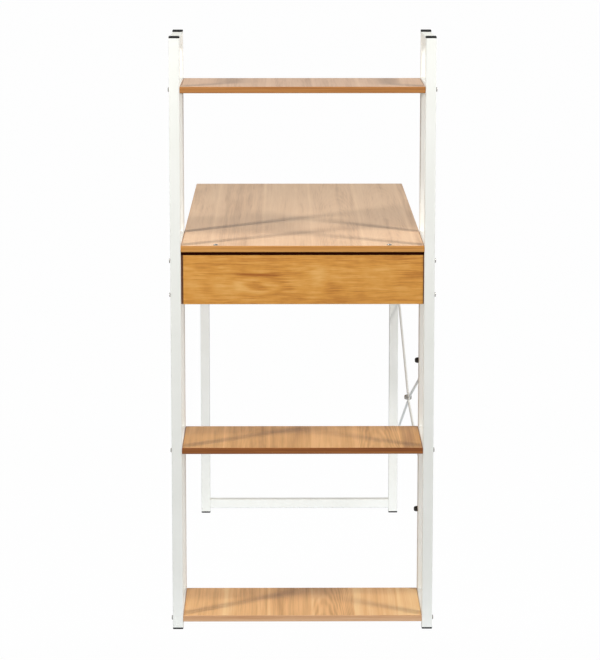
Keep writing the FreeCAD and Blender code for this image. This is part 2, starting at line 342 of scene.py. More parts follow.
def printed_marks(tree, place, size, detail):
    """Marks of the print that measure size millimetres along the axes of place, itself in millimetres."""
    steps = tuple(1 / length for length in size)
    scaled = add(tree, "ShaderNodeVectorMath", {0: place, 1: steps}, operation="MULTIPLY").outputs["Vector"]
    return add(
        tree,
        "ShaderNodeTexNoise",
        {"Vector": scaled, "Scale": 1.0, "Detail": detail, "Roughness": PRINT_ROUGHNESS},
    )


def tone_of(tree, fields):
    """Adds weighted fields, each about 0.5, to one tone about 0.5."""
    total = 0.5 - sum(weight for field, weight in fields) / 2
    for field, weight in fields:
        total = add(
            tree, "ShaderNodeMath", {0: field, 1: weight, 2: total}, operation="MULTIPLY_ADD"
        ).outputs["Value"]
    return total


def growth_rings(tree, local, cell, oak):
    """Nested arches of grain in each printed plank, and the plank's own chance tone."""
    index = add(tree, "ShaderNodeMath", {0: cell}, operation="FLOOR").outputs["Value"]
    inside = add(tree, "ShaderNodeMath", {0: cell}, operation="FRACT").outputs["Value"]
    chance = add(tree, "ShaderNodeTexWhiteNoise", {"W": index}, noise_dimensions="1D")
    chances = add(tree, "ShaderNodeSeparateColor", {0: chance.outputs["Color"]})
    heart = add(
        tree,
        "ShaderNodeMath",
        {0: chances.outputs["Red"], 1: HEART_SPREAD, 2: -0.5 - HEART_SPREAD / 2},
        operation="MULTIPLY_ADD",
    ).outputs["Value"]
    away = add(tree, "ShaderNodeMath", {0: inside, 1: heart}, operation="ADD").outputs["Value"]
    arch = add(tree, "ShaderNodeMath", {0: away, 1: away}, operation="MULTIPLY").outputs["Value"]
    axes = add(tree, "ShaderNodeSeparateXYZ", {0: local})
    drift = printed_marks(tree, local, oak["sway_size"], DRIFT_DETAIL).outputs["Fac"]
    rings = chances.outputs["Blue"]
    for field, weight in (
        (axes.outputs["Y"], 1 / RING_ARC),
        (arch, RING_SPREAD * oak["plank"] ** 2),
        (drift, RING_DRIFT),
    ):
        rings = add(
            tree, "ShaderNodeMath", {0: field, 1: weight, 2: rings}, operation="MULTIPLY_ADD"
        ).outputs["Value"]
    turn = add(tree, "ShaderNodeMath", {0: rings, 1: 2 * math.pi}, operation="MULTIPLY").outputs["Value"]
    wave = add(tree, "ShaderNodeMath", {0: turn}, operation="SINE").outputs["Value"]
    arched = add(
        tree, "ShaderNodeMapRange", {"Value": chances.outputs["Blue"], "From Min": ARCHED_SHARE}
    ).outputs["Result"]
    lines = add(tree, "ShaderNodeMath", {0: wave, 1: arched}, operation="MULTIPLY").outputs["Value"]
    centred = add(
        tree, "ShaderNodeMath", {0: lines, 1: 0.5, 2: 0.5}, operation="MULTIPLY_ADD"
    ).outputs["Value"]
    return centred, chances.outputs["Green"]


def swayed(tree, local, oak):
    """The board's own millimetres with the grain swaying from side to side."""
    sway = printed_marks(tree, local, oak["sway_size"], SWAY_DETAIL).outputs["Color"]
    centred = add(
        tree, "ShaderNodeVectorMath", {0: sway, 1: (0.5, 0.5, 0.5)}, operation="SUBTRACT"
    ).outputs["Vector"]
    reach = (oak["sway"], 0.0, 0.0)
    return add(
        tree, "ShaderNodeVectorMath", {0: centred, 1: reach, 2: local}, operation="MULTIPLY_ADD"
    ).outputs["Vector"]


def figure(tree, grained, spot, streaks):
    """A soft patch of the print, ragged along the grain: pale flame, dark streak or a swirl of rings."""
    place, size = spot["place"], spot["size"]
    near = add(
        tree, "ShaderNodeVectorMath", {0: grained, 1: (*place, 0.0)}, operation="SUBTRACT"
    ).outputs["Vector"]
    steps = (1 / size[0], 1 / size[1], 0.0)
    scaled = add(tree, "ShaderNodeVectorMath", {0: near, 1: steps}, operation="MULTIPLY").outputs["Vector"]
    away = add(tree, "ShaderNodeVectorMath", {0: scaled}, operation="LENGTH").outputs["Value"]
    ragged = add(
        tree, "ShaderNodeMath", {0: streaks, 1: spot["ragged"], 2: away}, operation="MULTIPLY_ADD"
    ).outputs["Value"]
    start_fade = spot["ragged"] / 2
    patch = add(
        tree,
        "ShaderNodeMapRange",
        {"Value": ragged, "From Min": start_fade, "From Max": start_fade + 1.0, "To Min": 1.0, "To Max": 0.0},
        interpolation_type="SMOOTHSTEP",
    ).outputs["Result"]
    if not spot["rings"]:
        return patch
    pitch = 2 * math.pi * spot["rings"]
    turn = add(tree, "ShaderNodeMath", {0: ragged, 1: pitch}, operation="MULTIPLY").outputs["Value"]
    wave = add(tree, "ShaderNodeMath", {0: turn}, operation="SINE").outputs["Value"]
    return add(tree, "ShaderNodeMath", {0: patch, 1: wave}, operation="MULTIPLY").outputs["Value"]


def printed_oak(name, grain, middle, oak, colours):
    """Oak-print melamine foil on particle board: soft arched grain in planks, satin with fine pores."""
    material, tree = new_material(name)
    place = add(tree, "ShaderNodeTexCoord").outputs["Object"]
    shift = Vector((0.0, 0.0, oak["sheet"])) - (grain @ Vector(middle)) / MM
    local = add(
        tree,
        "ShaderNodeMapping",
        {"Vector": place, "Scale": (1 / MM,) * 3, "Rotation": grain.to_euler(), "Location": shift},
    ).outputs["Vector"]
    across = add(tree, "ShaderNodeSeparateXYZ", {0: local}).outputs["X"]
    plank = oak["plank"]
    cell = add(
        tree, "ShaderNodeMath", {0: across, 1: 1 / plank, 2: oak["offset"]}, operation="MULTIPLY_ADD"
    ).outputs["Value"]
    lines, chance = growth_rings(tree, local, cell, oak)
    border = add(tree, "ShaderNodeMath", {0: cell, 1: 0.5}, operation="PINGPONG").outputs["Value"]
    seam = add(
        tree,
        "ShaderNodeMapRange",
        {"Value": border, "From Max": SEAM_WIDTH / plank, "To Min": 1.0, "To Max": 0.5},
    ).outputs["Result"]
    grained = swayed(tree, local, oak)
    pores = printed_marks(tree, grained, oak["pore_size"], PORE_DETAIL).outputs["Fac"]
    streaks = printed_marks(tree, grained, oak["streak_size"], STREAK_DETAIL).outputs["Fac"]
    clouds = printed_marks(tree, grained, oak["cloud_size"], CLOUD_DETAIL).outputs["Fac"]
    fields = (lines, chance, seam, pores, streaks, clouds)
    tone = tone_of(tree, list(zip(fields, oak["weights"])))
    for spot in oak["figure"]:
        patch = figure(tree, grained, spot, streaks)
        tone = add(
            tree, "ShaderNodeMath", {0: patch, 1: spot["weight"], 2: tone}, operation="MULTIPLY_ADD"
        ).outputs["Value"]
    colour = add(tree, "ShaderNodeValToRGB", {"Fac": tone}, tinted(zip(WOOD_STOPS, colours)))
    in_pores, between = oak["roughness"]
    sheen = add(tree, "ShaderNodeMapRange", {"Value": pores, "To Min": in_pores, "To Max": between})
    bump = add(tree, "ShaderNodeBump", {"Height": pores, "Strength": PORE_BUMP, "Distance": PORE_DEPTH})
    shader = add(
        tree,
        "ShaderNodeBsdfPrincipled",
        {
            "Base Color": colour.outputs["Color"],
            "Roughness": sheen.outputs["Result"],
            "Specular IOR Level": oak["shine"],
            "Normal": bump.outputs["Normal"],
        },
    )
    add(tree, "ShaderNodeOutputMaterial", {"Surface": shader.outputs["BSDF"]})
    return material


def edge_band(name, colours, low, high):
    """Oak-print edge band: thin satin foil glued round the board's edges, with streaks along the edge and
    painted shade and light from its lower edge up.
    """
    material, tree = new_material(name)
    place = add(tree, "ShaderNodeTexCoord").outputs["Object"]
    local = add(tree, "ShaderNodeMapping", {"Vector": place, "Scale": (1 / MM,) * 3}).outputs["Vector"]
    pores = printed_marks(tree, local, BAND_PORE_SIZE, BAND_PORE_DETAIL).outputs["Fac"]
    streaks = printed_marks(tree, local, BAND_STREAK_SIZE, BAND_STREAK_DETAIL).outputs["Fac"]
    # Painted shade and light: the band is lighter near the board's lower edge and darkest a little over a
    # third down from its upper edge
    height = add(tree, "ShaderNodeSeparateXYZ", {0: place}).outputs["Z"]
    rise = add(tree, "ShaderNodeMapRange", {"Value": height, "From Min": low.z, "From Max": high.z})
    painted_shade_and_light = add(
        tree,
        "ShaderNodeValToRGB",
        {"Fac": rise.outputs["Result"]},
        [(stop, (level, level, level, 1.0)) for stop, level in BAND_PAINTED_LIGHT_PROFILE],
    ).outputs["Color"]
    tone = tone_of(tree, list(zip((pores, streaks, painted_shade_and_light), BAND_WEIGHTS)))
    colour = add(tree, "ShaderNodeValToRGB", {"Fac": tone}, tinted(zip(WOOD_STOPS, colours)))
    shader = add(
        tree,
        "ShaderNodeBsdfPrincipled",
        {
            "Base Color": colour.outputs["Color"],
            "Roughness": BAND_ROUGHNESS,
            "Specular IOR Level": BAND_SHINE,
        },
    )
    add(tree, "ShaderNodeOutputMaterial", {"Surface": shader.outputs["BSDF"]})
    return material


def shaded_board_core():
    """Bare particle board where no foil covers it: dull chips of wood and glue, painted near black as shade
    for the apron's upper rebate.
    """
    material, tree = new_material("particle_board_painted_shade")
    place = add(tree, "ShaderNodeTexCoord").outputs["Object"]
    chips = add(tree, "ShaderNodeTexVoronoi", {"Vector": place, "Scale": 1 / CHIP_SIZE})
    tint = add(tree, "ShaderNodeValToRGB", {"Fac": chips.outputs["Distance"]}, tinted(SHADED_CHIP_COLOURS))
    shader = add(
        tree,
        "ShaderNodeBsdfPrincipled",
        {
            "Base Color": tint.outputs["Color"],
            "Roughness": CORE_ROUGHNESS,
            "Specular IOR Level": CORE_SHINE,
        },
    )
    add(tree, "ShaderNodeOutputMaterial", {"Surface": shader.outputs["BSDF"]})
    return material


def powder_coat():
    """White polyester powder baked on steel: a dull satin skin whose slight peel breaks up highlights."""
    material, tree = new_material("white_powder_coat")
    place = add(tree, "ShaderNodeTexCoord").outputs["Object"]
    peel = add(tree, "ShaderNodeTexNoise", {"Vector": place, "Scale": 1 / PEEL_SIZE, "Detail": COAT_DETAIL})
    bump = add(
        tree,
        "ShaderNodeBump",
        {"Height": peel.outputs["Fac"], "Strength": PEEL_BUMP, "Distance": PEEL_DEPTH},
    )
    cloud = add(
        tree, "ShaderNodeTexNoise", {"Vector": place, "Scale": 1 / COAT_CLOUD_SIZE, "Detail": COAT_DETAIL}
    ).outputs["Fac"]
    smoother, rougher = COAT_ROUGHNESS
    sheen = add(tree, "ShaderNodeMapRange", {"Value": cloud, "To Min": smoother, "To Max": rougher})
    tint = add(tree, "ShaderNodeValToRGB", {"Fac": cloud}, tinted(COAT_COLOURS))
    shader = add(
        tree,
        "ShaderNodeBsdfPrincipled",
        {
            "Base Color": tint.outputs["Color"],
            "Roughness": sheen.outputs["Result"],
            "Specular IOR Level": COAT_SHINE,
            "Normal": bump.outputs["Normal"],
        },
    )
    add(tree, "ShaderNodeOutputMaterial", {"Surface": shader.outputs["BSDF"]})
    return material


def black_plastic():
    """Injection-moulded black polyethylene: dull, with the fine spark-eroded grain of its mould."""
    material, tree = new_material("moulded_black_polyethylene")
    place = add(tree, "ShaderNodeTexCoord").outputs["Object"]
    grit = add(
        tree, "ShaderNodeTexNoise", {"Vector": place, "Scale": 1 / GRIT_SIZE, "Detail": GRIT_DETAIL}
    ).outputs["Fac"]
    bump = add(tree, "ShaderNodeBump", {"Height": grit, "Strength": GRIT_BUMP, "Distance": GRIT_DEPTH})
    tint = add(tree, "ShaderNodeValToRGB", {"Fac": grit}, tinted(PLASTIC_COLOURS))
    shader = add(
        tree,
        "ShaderNodeBsdfPrincipled",
        {
            "Base Color": tint.outputs["Color"],
            "Roughness": PLASTIC_ROUGHNESS,
            "Specular IOR Level": PLASTIC_SHINE,
            "Normal": bump.outputs["Normal"],
        },
    )
    add(tree, "ShaderNodeOutputMaterial", {"Surface": shader.outputs["BSDF"]})
    return material


def plated_steel(name, colours, roughness):
    """Plated steel fasteners: metal with a faint blotchy finish from the plating bath."""
    material, tree = new_material(name)
    place = add(tree, "ShaderNodeTexCoord").outputs["Object"]
    blotch = add(
        tree, "ShaderNodeTexNoise", {"Vector": place, "Scale": 1 / BLOTCH_SIZE, "Detail": BLOTCH_DETAIL}
    )
    tint = add(tree, "ShaderNodeValToRGB", {"Fac": blotch.outputs["Fac"]}, tinted(colours))
    shader = add(
        tree,
        "ShaderNodeBsdfPrincipled",
        {"Base Color": tint.outputs["Color"], "Metallic": 1.0, "Roughness": roughness},
    )
    add(tree, "ShaderNodeOutputMaterial", {"Surface": shader.outputs["BSDF"]})
    return material


def alone(piece):
    """Makes a piece the only selected object and the active one."""
    bpy.ops.object.select_all(action="DESELECT")
    piece.select_set(True)
    bpy.context.view_layer.objects.active = piece


def start(primitive, name, **settings):
    """Adds one primitive, alone in the selection, with its place applied to its mesh."""
    bpy.ops.object.select_all(action="DESELECT")
    primitive(**settings)
    piece = bpy.context.object
    piece.name = name
    bpy.ops.object.transform_apply(location=True, rotation=True, scale=True)
    return piece


def pick(piece, kind, test):
    """Selects, in edit mode, the faces, edges or corners that pass a test."""
    bpy.ops.mesh.select_mode(type=kind)
    bpy.ops.mesh.select_all(action="DESELECT")
    shape = bmesh.from_edit_mesh(piece.data)
    parts = {"FACE": shape.faces, "EDGE": shape.edges, "VERT": shape.verts}[kind]
    for part in parts:
        if test(part):
            part.select_set(True)
    shape.select_flush_mode()
    bmesh.update_edit_mesh(piece.data)


def edit(piece):
    alone(piece)
    bpy.ops.object.mode_set(mode="EDIT")


def leave_edit():
    bpy.ops.object.mode_set(mode="OBJECT")


def extrude(move):
    bpy.ops.mesh.extrude_region_move(TRANSFORM_OT_translate={"value": move})


def apply_modifier(piece, kind, **settings):
    alone(piece)
    modifier = piece.modifiers.new(kind.lower(), kind)
    for name, value in settings.items():
        setattr(modifier, name, value)
    bpy.ops.object.modifier_apply(modifier=modifier.name)


def cut(piece, cutter):
    """Cuts one shape out of a piece and throws the cutter away."""
    apply_modifier(piece, "BOOLEAN", operation="DIFFERENCE", solver="EXACT", object=cutter)
    bpy.data.objects.remove(cutter)


def smooth(piece, degrees=SMOOTH_ANGLE):
    """Smooth shading over the rounds, with flat faces kept flat."""
    alone(piece)
    bpy.ops.object.shade_smooth_by_angle(angle=math.radians(degrees))
    apply_modifier(piece, "WEIGHTED_NORMAL", keep_sharp=True)


def settle(piece, node):
    """A finished piece stands for its CAD node and rides where the node does."""
    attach(piece, "root")
    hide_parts(node)


def dress(node, material):
    """Gives a CAD node one material."""
    slots = frame["nodes"][node].data.materials
    slots.clear()
    slots.append(material)


def placed_copy(model, name, place, way):
    """A copy of a fastener or moulding, with its own mesh, moved from Z = 0 to a seat and turned outwards."""
    copy = bpy.data.objects.new(name, model.data.copy())
    bpy.context.scene.collection.objects.link(copy)
    copy.matrix_world = Matrix.Translation(place) @ Vector(way).to_track_quat("Z", "Y").to_matrix().to_4x4()
    alone(copy)
    bpy.ops.object.transform_apply(location=True, rotation=True, scale=True)
    return copy


def joined(pieces, name):
    alone(pieces[0])
    for piece in pieces:
        piece.select_set(True)
    bpy.ops.object.join()
    pieces[0].name = name
    return pieces[0]


def banded_board(node, thin_axis, surface, band):
    """A board with foil on its two faces and a rounded band on its edges."""
    low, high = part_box(node)
    piece = start(
        bpy.ops.mesh.primitive_cube_add, node + "_board", size=1, location=(low + high) / 2, scale=high - low
    )
    edit(piece)
    bpy.ops.mesh.select_all(action="SELECT")
    bpy.ops.mesh.bevel(offset=BOARD_EDGE_ROUND, segments=BOARD_EDGE_STEPS, affect="EDGES")
    leave_edit()
    piece.data.materials.append(surface)
    piece.data.materials.append(band)
    for face in piece.data.polygons:
        face.material_index = int(abs(face.normal[thin_axis]) < FLAT_FACE)
    return piece


def finish_board(piece, node):
    smooth(piece)
    settle(piece, node)


def rebate(piece, low, high, shaded_core):
    """Cuts the apron's rebates: the upper one is lined with bare particle board painted near black as shade,
    the narrow side ones with a band painted dark as shade.
    """
    wide, tall = high.x - low.x, high.z - low.z
    for place, size in (
        ((low.x + wide / 2, low.y, high.z), (2 * wide, 2 * REBATE_DEPTH, 2 * REBATE_HEIGHT)),
        ((low.x, low.y, low.z + tall / 2), (2 * REBATE_LEFT, 2 * REBATE_DEPTH, 2 * tall)),
        ((high.x, low.y, low.z + tall / 2), (2 * REBATE_RIGHT, 2 * REBATE_DEPTH, 2 * tall)),
    ):
        cutter = start(
            bpy.ops.mesh.primitive_cube_add, "rebate_cutter", size=1, location=place, scale=size
        )
        cut(piece, cutter)
    piece.data.materials.append(shaded_core)
    piece.data.materials.append(edge_band("apron_side_band_painted_shade", SIDE_BAND_SHADE_COLOURS, low, high))
    # Painted shade: the rebate faces get the near-black particle board on top and the dark side band at the
    # ends
    for face in piece.data.polygons:
        middle = face.center
        beside = middle.x < low.x + REBATE_LEFT + NEAR or middle.x > high.x - REBATE_RIGHT - NEAR
        above = middle.z > high.z - REBATE_HEIGHT - NEAR
        if (beside or above) and middle.y < low.y + REBATE_DEPTH + NEAR:
            face.material_index = SHADED_CORE_SLOT if above else SHADED_SIDE_SLOT


def headed(name, radius, height, round_off, shank, length, tip):
    """A low round head above Z = 0 and its shank below, drawn out to a tip of its own width."""
    piece = start(
        bpy.ops.mesh.primitive_cylinder_add,
        name,
        vertices=ROUND_SIDES,
        radius=radius,
        depth=height,
        location=(0, 0, height / 2),
    )
    edit(piece)
    pick(piece, "EDGE", lambda edge: min(corner.co.z for corner in edge.verts) > height - NEAR)
    bpy.ops.mesh.bevel(offset=round_off, segments=HEAD_STEPS, affect="EDGES")
    pick(piece, "FACE", lambda face: face.normal.z < -FLAT_FACE)
    bpy.ops.mesh.inset(thickness=radius - shank)
    extrude((0, 0, tip - length))
    extrude((0, 0, -tip))
    return piece


def pointed(piece, share, end):
    """Narrows the shank's last ring to a share of its width and leaves edit mode."""
    bpy.ops.transform.resize(value=(share, share, 1), center_override=(0, 0, end))
    leave_edit()


def socketed(piece, flats, depth, height):
    """Sinks a hexagon socket into a head."""
    cutter = start(
        bpy.ops.mesh.primitive_cylinder_add,
        "socket_cutter",
        vertices=HEXAGON_SIDES,
        radius=flats / 2 / math.cos(math.pi / HEXAGON_SIDES),
        depth=2 * depth,
        location=(0, 0, height),
    )
    cut(piece, cutter)
    smooth(piece)


def wood_screw():
    piece = headed(
        "wood_screw",
        SCREW_HEAD_RADIUS,
        SCREW_HEAD_HEIGHT,
        SCREW_HEAD_ROUND,
        SCREW_RADIUS,
        SCREW_LENGTH,
        SCREW_TIP,
    )
    pointed(piece, SCREW_TIP_SHARE, -SCREW_LENGTH)
    socketed(piece, SCREW_SOCKET, SCREW_SOCKET_DEPTH, SCREW_HEAD_HEIGHT)
    return piece


def machine_bolt(length):
    piece = headed(
        "machine_bolt", BOLT_HEAD_RADIUS, BOLT_HEAD_HEIGHT, BOLT_HEAD_ROUND, BOLT_RADIUS, length, BOLT_END
    )
    pointed(piece, 1 - BOLT_END / BOLT_RADIUS, -length)
    socketed(piece, BOLT_SOCKET, BOLT_SOCKET_DEPTH, BOLT_HEAD_HEIGHT)
    return piece


def domed_nut():
    """A hexagon nut with eased corners and a round dome on it."""
    hexagon = start(
        bpy.ops.mesh.primitive_cylinder_add,
        "nut_hexagon",
        vertices=HEXAGON_SIDES,
        radius=NUT_FLATS / 2 / math.cos(math.pi / HEXAGON_SIDES),
        depth=NUT_HEX_HEIGHT,
        location=(0, 0, NUT_HEX_HEIGHT / 2),
    )
    edit(hexagon)
    bpy.ops.mesh.select_all(action="SELECT")
    bpy.ops.mesh.bevel(offset=NUT_EDGE_ROUND, segments=NUT_EDGE_STEPS, affect="EDGES")
    leave_edit()
    dome = start(
        bpy.ops.mesh.primitive_cylinder_add,
        "nut_dome",
        vertices=ROUND_SIDES,
        radius=NUT_FLATS / 2,
        depth=NUT_DOME_HEIGHT,
        location=(0, 0, NUT_HEX_HEIGHT + NUT_DOME_HEIGHT / 2),
    )
    edit(dome)
    top = NUT_HEX_HEIGHT + NUT_DOME_HEIGHT
    pick(dome, "EDGE", lambda edge: min(corner.co.z for corner in edge.verts) > top - NEAR)
    bpy.ops.mesh.bevel(offset=NUT_DOME_HEIGHT - NUT_EDGE_ROUND, segments=NUT_DOME_STEPS, affect="EDGES")
    leave_edit()
    nut = joined([hexagon, dome], "domed_nut")
    smooth(nut)
    return nut


def tube_end(name, flange):
    """A moulded tube end: a rounded flange above Z = 0 and a hollow plug below."""
    piece = start(
        bpy.ops.mesh.primitive_cube_add,
        name,
        size=1,
        location=(0, 0, flange / 2),
        scale=(TUBE_SIDE, TUBE_SIDE, flange),
    )
    edit(piece)
    pick(piece, "EDGE", lambda edge: abs(edge.verts[0].co.z - edge.verts[1].co.z) > NEAR)
    bpy.ops.mesh.bevel(offset=TUBE_CORNER, segments=MOULDING_STEPS, affect="EDGES")
    pick(piece, "EDGE", lambda edge: min(corner.co.z for corner in edge.verts) > flange - NEAR)
    bpy.ops.mesh.bevel(offset=MOULDING_ROUND, segments=MOULDING_STEPS, affect="EDGES")
    pick(piece, "FACE", lambda face: face.normal.z < -FLAT_FACE)
    bpy.ops.mesh.inset(thickness=TUBE_WALL + PLUG_CLEARANCE)
    extrude((0, 0, -PLUG_LENGTH))
    bpy.ops.mesh.inset(thickness=PLUG_WALL)
    extrude((0, 0, PLUG_LENGTH - PLUG_WALL))
    leave_edit()
    smooth(piece)
    return piece


def fasteners(model, node, seats, finish):
    """Copies of one fastener on all the seats of a node, joined to one piece."""
    set_name = node + "_set"
    copies = [
        placed_copy(model, f"{set_name}_{number}", place, way) for number, (place, way) in enumerate(seats)
    ]
    piece = joined(copies, set_name)
    piece.data.materials.append(finish)
    settle(piece, node)


def rod_profile(span):
    """(distance along the rod, width, thickness) of every ring that isn't round."""
    turns = [math.radians(turn) for turn in ROD_EYE_TURNS]
    rise = [(math.cos(turn), math.sin(turn)) for turn in turns]
    outer = [(-cosine * ROD_EYE_RADIUS, 2 * sine * ROD_EYE_RADIUS, ROD_FLAT) for cosine, sine in rise]
    inner = [(cosine * ROD_EYE_RADIUS, 2 * sine * ROD_EYE_RADIUS, ROD_FLAT) for cosine, sine in rise[1:3]]
    inner = [ring for ring in inner if ring[1] > ROD_NECK]
    reach = TUBE_SIDE / 2 + ROD_START_GAP
    neck = [
        (math.sqrt(ROD_EYE_RADIUS ** 2 - (ROD_NECK / 2) ** 2), ROD_NECK, ROD_FLAT),
        (reach - ROD_TAPER / 2, ROD_NECK, ROD_FLAT),
        (reach + ROD_TAPER / 2, 2 * ROD_RADIUS, 2 * ROD_RADIUS),
    ]
    end = [(-ROD_EYE_RADIUS, ROD_EYE_TIP_SHARE * ROD_EYE_RADIUS, ROD_FLAT)] + outer + inner + neck
    half = [(0.0, 2 * ROD_EYE_RADIUS, ROD_FLAT)] + inner + neck
    rings = end + [(span - place, width, thick) for place, width, thick in end]
    for place, width, thick in half:
        rings += [(span / 2 + place, width, thick), (span / 2 - place, width, thick)]
    return sorted(set(rings))


def shape_ring(piece, place, width, thick, shift):
    """Sets one ring of the rod to its width and thickness, with flat faces, and moves it sideways."""
    def on_ring(corner):
        return abs(corner.co.z - place) < NEAR

    pick(piece, "VERT", on_ring)
    bpy.ops.transform.resize(value=(1, width / (2 * ROD_RADIUS), 1), center_override=(0, 0, place))
    if thick < 2 * ROD_RADIUS:
        for side in (-1, 1):
            pick(piece, "VERT", lambda corner: on_ring(corner) and corner.co.x * side > NEAR)
            bpy.ops.transform.resize(value=(0, 1, 1), center_override=(side * thick / 2, 0, place))
    pick(piece, "VERT", on_ring)
    bpy.ops.transform.translate(value=(shift, 0, 0))


def sideways(place, span, ends, crossing):
    """How far across the desk a rod's middle line lies at a place: straight between its three flats."""
    reach = TUBE_SIDE / 2 + ROD_START_GAP
    stops = [
        (reach, ends[0]),
        (span / 2 - reach, crossing),
        (span / 2 + reach, crossing),
        (span - reach, ends[1]),
    ]
    if place <= stops[0][0]:
        return ends[0]
    for (first, before), (last, after) in zip(stops, stops[1:]):
        if place <= last:
            return before + (after - before) * (place - first) / (last - first)
    return ends[1]


def brace_rod(node, tower, leg, crossing):
    """A round rod, hammered flat at both ends and where it crosses the other."""
    rise = math.atan2(leg.z - tower.z, leg.y - tower.y)
    span = math.hypot(leg.z - tower.z, leg.y - tower.y)
    piece = start(
        bpy.ops.mesh.primitive_cylinder_add,
        node + "_bar",
        vertices=ROD_SIDES,
        radius=ROD_RADIUS,
        depth=span + 2 * ROD_EYE_RADIUS,
        location=(0, 0, span / 2),
    )
    rings = rod_profile(span)
    edit(piece)
    for place, _, _ in rings[1:-1]:
        bpy.ops.mesh.select_all(action="SELECT")
        bpy.ops.mesh.bisect(plane_co=(0, 0, place), plane_no=UP)
    for place, width, thick in rings:
        shape_ring(piece, place, width, thick, sideways(place, span, (tower.x, leg.x), crossing))
    leave_edit()
    lean = Matrix.Rotation(rise - math.pi / 2, 4, "X")
    piece.matrix_world = Matrix.Translation((0, tower.y, tower.z)) @ lean
    alone(piece)
    bpy.ops.object.transform_apply(location=True, rotation=True, scale=True)
    smooth(piece, ROD_SMOOTH_ANGLE)
    settle(piece, node)
    return piece


def make_boards(shaded_core):
    for node, (oak, colours, band_colours) in BOARDS.items():
        low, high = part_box(node)
        foil = printed_oak(node + "_oak_foil", GRAIN_ALONG_DESK, (low + high) / 2, oak, colours)
        band = edge_band(node + "_oak_edge_band", band_colours, low, high)
        piece = banded_board(node, Z_AXIS, foil, band)
        finish_board(piece, node)
    low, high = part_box("apron")
    foil = printed_oak("apron_oak_foil", GRAIN_ACROSS_DESK, (low + high) / 2, APRON_PRINT, APRON_FOIL)
    band = edge_band("apron_oak_edge_band", APRON_FOIL, low, high)
    piece = banded_board("apron", Y_AXIS, foil, band)
    rebate(piece, low, high, shaded_core)
    finish_board(piece, "apron")


def side_seats(node, heights):
    """Seats of screws that go in from both sides through the uprights: outer face and outward way."""
    low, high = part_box(node)
    ends = (low.y + SCREW_HEAD_RADIUS, high.y - SCREW_HEAD_RADIUS)
    places = sorted({round(place, PLACE_DIGITS) for place in ends})
    seats = []
    for x, way in ((low.x + SCREW_HEAD_HEIGHT, LEFT), (high.x - SCREW_HEAD_HEIGHT, RIGHT)):
        seats += [(Vector((x, y, z)), way) for y in places for z in heights]
    return seats


def top_seats(node):
    """Seats of the two screws that go down through the desktop into the apron."""
    low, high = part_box(node)
    y, z = (low.y + high.y) / 2, high.z - SCREW_HEAD_HEIGHT
    return [(Vector((x, y, z)), UP) for x in (low.x + SCREW_HEAD_RADIUS, high.x - SCREW_HEAD_RADIUS)]


def make_screws(finish):
    model = wood_screw()
    for node in ("bottom_shelf_screws", "lower_shelf_screws", "top_shelf_screws"):
        low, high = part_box(node)
        fasteners(model, node, side_seats(node, [(low.z + high.z) / 2]), finish)
    low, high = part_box("apron_side_screws")
    heights = [low.z + SCREW_HEAD_RADIUS, high.z - SCREW_HEAD_RADIUS]
    fasteners(model, "apron_side_screws", side_seats("apron_side_screws", heights), finish)
    fasteners(model, "apron_top_screws", top_seats("apron_top_screws"), finish)
    bpy.data.objects.remove(model)


def make_tube_ends(finish):
    cap = tube_end("cap", CAP_FLANGE)
    foot = tube_end("foot", FOOT_FLANGE)
    for node in SLOT:
        if node.startswith("cap_") or "foot_" in node:
            low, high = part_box(node)
            x, y = (low.x + high.x) / 2, (low.y + high.y) / 2
            if node.startswith("cap_"):
                piece = placed_copy(cap, node + "_moulding", (x, y, high.z - CAP_FLANGE), UP)
            else:
                piece = placed_copy(foot, node + "_moulding", (x, y, low.z + FOOT_FLANGE), DOWN)
            piece.data.materials.append(finish)
            settle(piece, node)
    bpy.data.objects.remove(cap)
    bpy.data.objects.remove(foot)


def brace_points():
    """Outer faces of the tower upright and the end leg, and the heights of the brace's bolts."""
    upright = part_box("upright_far_right")
    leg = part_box("end_leg_right")
    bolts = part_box("brace_bolts")
    lowest = bolts[0].z + BOLT_HEAD_RADIUS
    highest = bolts[1].z - BOLT_HEAD_RADIUS
    tower_y = (upright[0].y + upright[1].y) / 2
    leg_y = (leg[0].y + leg[1].y) / 2
    return (upright[1].x, tower_y), (leg[1].x, leg_y), (lowest, highest)


def make_brace(coat, dark_steel, zinc):
    (tower_x, tower_y), (leg_x, leg_y), heights = brace_points()
    half = ROD_FLAT / 2
    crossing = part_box("brace_crossing_nut")[1].x + ROD_FLAT
    for node, low, high, layer in (
        ("brace_rod_rising", heights[0], heights[1], -1),
        ("brace_rod_falling", heights[1], heights[0], 1),
    ):
        tower = Vector((tower_x + half, tower_y, low))
        leg = Vector((leg_x + half, leg_y, high))
        rod = brace_rod(node, tower, leg, crossing + layer * half)
        rod.data.materials.append(coat)
    ends = [(x, y, z) for x, y in ((tower_x, tower_y), (leg_x, leg_y)) for z in heights]
    long_bolt = machine_bolt(TUBE_SIDE + ROD_FLAT + NUT_HEX_HEIGHT)
    nut = domed_nut()
    fasteners(long_bolt, "brace_bolts", [(Vector((x + ROD_FLAT, y, z)), RIGHT) for x, y, z in ends], zinc)
    fasteners(nut, "brace_nuts", [(Vector((x - TUBE_SIDE, y, z)), LEFT) for x, y, z in ends], dark_steel)
    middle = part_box("brace_crossing_bolt")
    y, z = (middle[0].y + middle[1].y) / 2, (middle[0].z + middle[1].z) / 2
    short_bolt = machine_bolt(2 * ROD_FLAT + NUT_HEX_HEIGHT)
    fasteners(short_bolt, "brace_crossing_bolt", [(Vector((crossing + ROD_FLAT, y, z)), RIGHT)], zinc)
    fasteners(nut, "brace_crossing_nut", [(Vector((crossing - ROD_FLAT, y, z)), LEFT)], zinc)
    for model in (long_bolt, short_bolt, nut):
        bpy.data.objects.remove(model)


